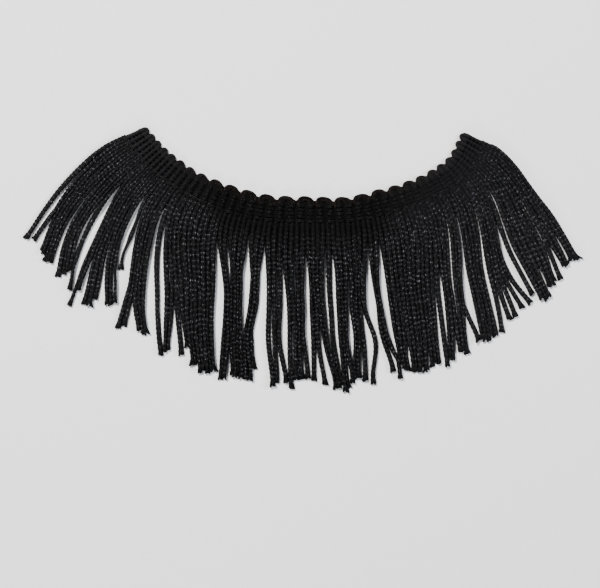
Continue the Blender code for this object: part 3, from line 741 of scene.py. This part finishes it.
def heading_ground(name):
    """The band's ground as one closed mesh."""
    columns = SCALLOPS * GROUND_PER_SCALLOP + 1
    count = np.linspace(0, SCALLOPS, columns)[:, None]
    in_scallop = (count % 1.0) ** 0.8
    arch = (4 * in_scallop * (1 - in_scallop)) ** 0.62
    upper = 0.094 + 0.065 * (1 - arch)
    share = np.linspace(0, 1, GROUND_TOP_POINTS)[None]
    v_top = upper + (1.0 - upper) * share
    over_rib = 2 * ((count * 2) % 1.0) - 1
    rib = 1 - np.clip(np.abs(over_rib) / 0.85, 0, 1) ** 2.2
    row = (v_top - STITCH_ROW_FIRST) / STITCH_ROW_STEP
    quilt = 0.5 + 0.5 * np.cos(2 * math.pi * row)
    rim = np.clip(np.minimum(share, 1 - share) / 0.06, 0, 1) ** 0.5
    z_top = (0.55 + (0.55 + 1.05 * rib + 0.10 * rib * quilt) * rim) * MM
    v_skirt = np.broadcast_to(np.array([1.03, 1.10, 1.17, 1.22]), (columns, 4))
    z_skirt = np.broadcast_to(np.array([1.90, 1.90, 1.75, 1.10]) * MM, (columns, 4))
    v_low = np.linspace(1, 0, 6)[None] * (1.22 - upper) + upper
    z_low = np.zeros((columns, 6))
    v = np.concatenate([v_top, v_skirt, v_low], axis=1)
    z = np.concatenate([z_top, z_skirt, z_low], axis=1)
    flat = on_band(np.broadcast_to(count, v.shape), v)
    ring = np.concatenate([flat, z[..., None]], axis=2)
    around = v.shape[1]
    caps = np.stack([ring[0].mean(axis=0), ring[-1].mean(axis=0)])
    grid = np.concatenate([ring.reshape(-1, 3), caps])
    quads, tris = tube_faces(1, columns, around)
    uv = np.zeros((columns, around, 2))
    uv[..., 0] = v
    uv[..., 1] = 8 * count
    uv = np.concatenate([uv.reshape(-1, 2), np.zeros((2, 2))])
    return add_mesh(name, grid, quads, tris, uv, wrap=100)


ground = heading_ground("heading_ground")

# %% [markdown]
# # Materials
# Yarn is near black with a little gloss, and its sheen is painted highlights. Its fine plies are a sine
# along the surface's own second coordinate, and small noises give the fuzz and the flecks of painted
# highlight, with 9 and 2.6 grains to a millimetre. Towards both ends a share of grey is painted light.


# %%
def linear(code):
    """A colour written as an sRGB hex code, in the linear values that the shader takes."""
    values = [int(code[i : i + 2], 16) / 255 for i in (1, 3, 5)]
    return tuple(v / 12.92 if v <= 0.04045 else ((v + 0.055) / 1.055) ** 2.4 for v in values) + (1.0,)


def add(tree, kind, values=(), **settings):
    """One node with its settings, and (socket, value or linked socket) pairs."""
    node = tree.nodes.new(kind)
    for key, value in settings.items():
        setattr(node, key, value)
    for key, value in values:
        if isinstance(value, bpy.types.NodeSocket):
            tree.links.new(value, node.inputs[key])
        else:
            node.inputs[key].default_value = value
    return node


def maths(tree, operation, *values):
    """A maths node's result."""
    return add(tree, "ShaderNodeMath", list(enumerate(values)), operation=operation).outputs[0]


def mixed(tree, share, a, b):
    """A colour between two colours."""
    node = add(tree, "ShaderNodeMix", data_type="RGBA")
    for key, value in ((0, share), (6, a), (7, b)):
        if isinstance(value, bpy.types.NodeSocket):
            tree.links.new(value, node.inputs[key])
        else:
            node.inputs[key].default_value = value
    return node.outputs[2]


def noise(tree, where, per_metre, detail):
    """The value of a noise with so many grains to a metre."""
    pairs = [("Vector", where), ("Scale", per_metre), ("Detail", detail)]
    return add(tree, "ShaderNodeTexNoise", pairs).outputs[0]


def ramp(tree, value, low, high, start=0.0, end=1.0):
    """A value that goes evenly from start to end while the given one goes from low to high."""
    pairs = [(0, value), (1, low), (2, high), (3, start), (4, end)]
    return add(tree, "ShaderNodeMapRange", pairs).outputs[0]


HIGHLIGHT_FLECK_EDGE = 0.07
ARM_FLOOR = 0.015  # how much of the painted highlight shows beside the arms
FADE_STITCHES = 6  # the painted highlights come up over this many stitches
TIP_STITCHES = 2.5  # they go down again over the last ones, to this share
TIP_PAINTED_HIGHLIGHT = 0.15
# painted light: the yarn is lighter towards both ends of the trim, as if more light fell there
PAINTED_LIGHT_GREY = "#3a3a3e"
PAINTED_LIGHT_FROM = 0.030  # metres from the trim's middle
PAINTED_LIGHT_FULL = 0.066


def painted_arm_highlights(tree, u, v):
    """The share of painted highlight on a knitted cord. Across a column of Vs it peaks at the quarters,
    along it just past each V's edge. Each V has its own strength, and the first and last stitches show less."""
    across = maths(tree, "COSINE", maths(tree, "MULTIPLY", u, 4 * math.pi))
    across = maths(tree, "POWER", maths(tree, "MULTIPLY_ADD", across, -0.5, 0.5), 1.6)
    along = maths(tree, "COSINE", maths(tree, "MULTIPLY_ADD", v, 2 * math.pi, -0.7))
    along = maths(tree, "POWER", maths(tree, "MAXIMUM", along, 0.0), 1.3)
    arm = maths(tree, "ADD", maths(tree, "MULTIPLY", across, along), ARM_FLOOR)
    own_v = [(0, maths(tree, "FLOOR", maths(tree, "MULTIPLY", u, 2.0))), (1, maths(tree, "FLOOR", v))]
    place = add(tree, "ShaderNodeCombineXYZ", own_v).outputs[0]
    chance = add(tree, "ShaderNodeTexWhiteNoise", [("Vector", place)], noise_dimensions="2D")
    strength = maths(tree, "MULTIPLY_ADD", chance.outputs["Value"], 1.4, 0.25)
    from_root = maths(tree, "MODULO", v, float(UV_PER_CORD))
    # painted shade: no painted highlights over the first stitches from the root
    shown = ramp(tree, from_root, DARK_STITCHES, DARK_STITCHES + FADE_STITCHES)
    tip = ramp(tree, from_root, STITCHES - TIP_STITCHES, STITCHES, 1.0, TIP_PAINTED_HIGHLIGHT)
    seen = maths(tree, "MULTIPLY", shown, tip)
    return maths(tree, "MULTIPLY", maths(tree, "MULTIPLY", arm, strength), seen)


def yarn(name, body, shade, painted_highlight, rough, plies, ply_deep, highlight_fleck_share, painted_light_share, knitted=False):
    """A yarn material: body colour, shade in patches, painted light as a share of grey towards the trim's
    ends, and painted highlights on flecks of fibre, on knitted cords only along the arms of the stitches.
    Fibres shade each other, so the gloss is far below that of smooth fibre."""
    m = bpy.data.materials.new(name)
    m.use_nodes = True
    tree = m.node_tree
    tree.nodes.clear()
    out = add(tree, "ShaderNodeOutputMaterial")
    shader = add(tree, "ShaderNodeBsdfPrincipled")
    tree.links.new(shader.outputs[0], out.inputs[0])
    uv = add(tree, "ShaderNodeUVMap", uv_map="UVMap").outputs[0]
    u, v, _ = add(tree, "ShaderNodeSeparateXYZ", [(0, uv)]).outputs
    where = add(tree, "ShaderNodeTexCoord").outputs["Object"]
    ply = maths(tree, "SINE", maths(tree, "MULTIPLY", v, 2 * math.pi * plies))
    fuzz = noise(tree, where, 9000.0, 3.0)
    highlight_fleck = noise(tree, where, 2600.0, 2.0)
    patch = noise(tree, where, 130.0, 2.0)
    # painted highlights: the flecks of fibre where the highlight colour is painted in
    painted_highlight_share = ramp(tree, highlight_fleck, 1 - highlight_fleck_share, 1 + HIGHLIGHT_FLECK_EDGE - highlight_fleck_share)
    if knitted:
        painted_highlight_share = maths(tree, "MULTIPLY", painted_highlight_share, painted_arm_highlights(tree, u, v))
    tone = mixed(tree, maths(tree, "MULTIPLY", patch, 0.9), linear(shade), linear(body))
    x = add(tree, "ShaderNodeSeparateXYZ", [(0, where)]).outputs[0]
    from_middle = maths(tree, "ABSOLUTE", maths(tree, "SUBTRACT", x, float(SHIFT[0])))
    # painted light: grey mixed in towards both ends of the trim
    tone = mixed(tree, ramp(tree, from_middle, PAINTED_LIGHT_FROM, PAINTED_LIGHT_FULL, 0.0, painted_light_share), tone, linear(PAINTED_LIGHT_GREY))
    # the painted highlight colour is mixed into the base colour
    tone = mixed(tree, painted_highlight_share, tone, linear(painted_highlight))
    tree.links.new(tone, shader.inputs["Base Color"])
    height = maths(tree, "ADD", maths(tree, "MULTIPLY", ply, 0.5), fuzz)
    bump = add(tree, "ShaderNodeBump", [("Strength", 0.8), ("Distance", ply_deep), ("Height", height)])
    tree.links.new(bump.outputs[0], shader.inputs["Normal"])
    roughness = maths(tree, "ADD", maths(tree, "MULTIPLY", fuzz, 0.2), rough - 0.1)
    tree.links.new(roughness, shader.inputs["Roughness"])
    shader.inputs["IOR"].default_value = 1.53
    shader.inputs["Specular IOR Level"].default_value = 0.04
    return m


# Body, shade and painted highlight colours, then roughness, plies to a unit of V, their depth,
# the share of flecks with painted highlights and the share of painted light grey.
KNITTED = ("#050506", "#030303", "#74747c", 0.50, 4.0, 0.05 * MM, 0.46, 0.05)
CUT = ("#080809", "#040404", "#2a2a2d", 0.60, 2.0, 0.05 * MM, 0.42, 0.05)
LOOPED = ("#0d0a09", "#060404", "#302926", 0.55, 6.0, 0.05 * MM, 0.42, 0.16)
CHAINED = ("#070707", "#040404", "#2a2a2c", 0.50, 3.0, 0.04 * MM, 0.44, 0.16)
RIBBED = ("#080808", "#060606", "#0c0c0c", 0.90, 5.0, 0.05 * MM, 0.30, 0.22)
CORD_YARN = yarn("viscose_knitted_cord", *KNITTED, knitted=True)
END_YARN = yarn("viscose_cut_yarn", *CUT)
LOOP_YARN_MATERIAL = yarn("cotton_looped_yarn", *LOOPED)
CHAIN_YARN = yarn("cotton_chain_thread", *CHAINED)
GROUND_YARN = yarn("cotton_rib_ground", *RIBBED)

for piece, material in [(cords, CORD_YARN) for cords in parts_of_fringe] + [(ends, END_YARN)]:
    piece.data.materials.append(material)
    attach(piece, "root")
    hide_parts("fringe")
for piece, material in ((ground, GROUND_YARN), (loops, LOOP_YARN_MATERIAL), (stitches, CHAIN_YARN)):
    piece.data.materials.append(material)
    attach(piece, "root")
    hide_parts("heading")

print("materials:", [m.name for m in bpy.data.materials])

# %% [markdown]
# # The floor
# A plain pale surface with a very fine grain.

# %%
bpy.ops.mesh.primitive_plane_add(size=3.0, location=(0, 0, 0))
floor = bpy.context.object
floor.name = "floor"
paper = bpy.data.materials.new("pale_paper_board")
paper.use_nodes = True
tree = paper.node_tree
shader = tree.nodes["Principled BSDF"]
where = add(tree, "ShaderNodeTexCoord").outputs["Object"]
grain = noise(tree, where, 700.0, 4.0)
tone = mixed(tree, grain, linear("#dcdde0"), linear("#e6e7e9"))
tree.links.new(tone, shader.inputs["Base Color"])
bump = add(tree, "ShaderNodeBump", [("Strength", 0.3), ("Distance", 0.05 * MM), ("Height", grain)])
tree.links.new(bump.outputs[0], shader.inputs["Normal"])
shader.inputs["Roughness"].default_value = 0.9
floor.data.materials.append(paper)

# %% [markdown]
# # Light and camera
# Soft studio light from the upper left, the right and the lower left, and a camera straight above
# the trim.


# %%
def area_light(name, place, size, power, colour):
    """A square soft light at a place, turned towards the middle of the trim."""
    lamp = bpy.data.lights.new(name, "AREA")
    lamp.shape = "SQUARE"
    lamp.size = size
    lamp.energy = power
    lamp.color = linear(colour)[:3]
    holder = bpy.data.objects.new(name, lamp)
    bpy.context.scene.collection.objects.link(holder)
    holder.location = place
    holder.rotation_euler = (Vector((0.0, 0.0, 0.0)) - Vector(place)).to_track_quat("-Z", "Y").to_euler()
    return holder


area_light("key_light", (-0.30, 0.40, 0.75), 0.16, 19.0, "#fffaf4")
area_light("fill_light", (0.60, 0.10, 0.50), 0.30, 5.5, "#f4f7ff")
area_light("low_light", (-0.28, -0.66, 0.40), 0.30, 5.0, "#ffffff")

world = bpy.data.worlds.new("studio_world")
world.use_nodes = True
background = world.node_tree.nodes["Background"]
background.inputs["Color"].default_value = linear("#e8ebf0")
background.inputs["Strength"].default_value = 0.26
bpy.context.scene.world = world

camera_data = bpy.data.cameras.new("camera")
camera = bpy.data.objects.new("camera", camera_data)
bpy.context.scene.collection.objects.link(camera)
camera_data.lens = 85.0
camera_data.sensor_width = 36.0
FRAME_WIDTH = 0.240
PICTURE_MIDDLE = np.array([0.4, -15.0]) * MM  # the place in the drawing under the picture's middle
camera.location = (*(PICTURE_MIDDLE + SHIFT), FRAME_WIDTH * 85.0 / 36.0)
camera.rotation_euler = (0.0, 0.0, 0.0)
camera_data.clip_start = 0.01
bpy.context.scene.camera = camera
